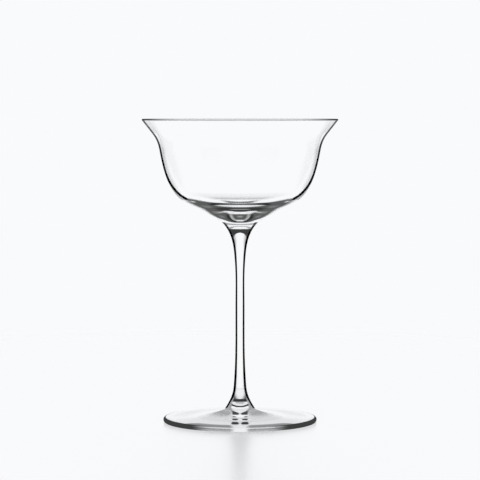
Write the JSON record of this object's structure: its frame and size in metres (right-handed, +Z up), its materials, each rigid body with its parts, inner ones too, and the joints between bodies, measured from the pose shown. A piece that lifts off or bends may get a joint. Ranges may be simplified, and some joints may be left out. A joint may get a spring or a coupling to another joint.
{
  "type": "coupe glass",
  "caption": "Clear stemmed coupe: a shallow round bowl with a flared rim and a solid base, on a slender drawn stem and a round foot.",
  "frame": {"origin": "on the glass's axis, in the plane of the ring under the foot that it rests on", "axes": "+Z up along the axis of revolution, from the foot to the rim; X and Y are any two directions square to it, because the glass is round"},
  "size_m": [0.1, 0.1, 0.1551],
  "materials": {
    "clear_glass": "fire-polished, clear and colourless"
  },
  "bodies": {
    "root": {"foot": "clear_glass", "stem": "clear_glass", "bowl": "clear_glass"}
  },
  "joints": []
}
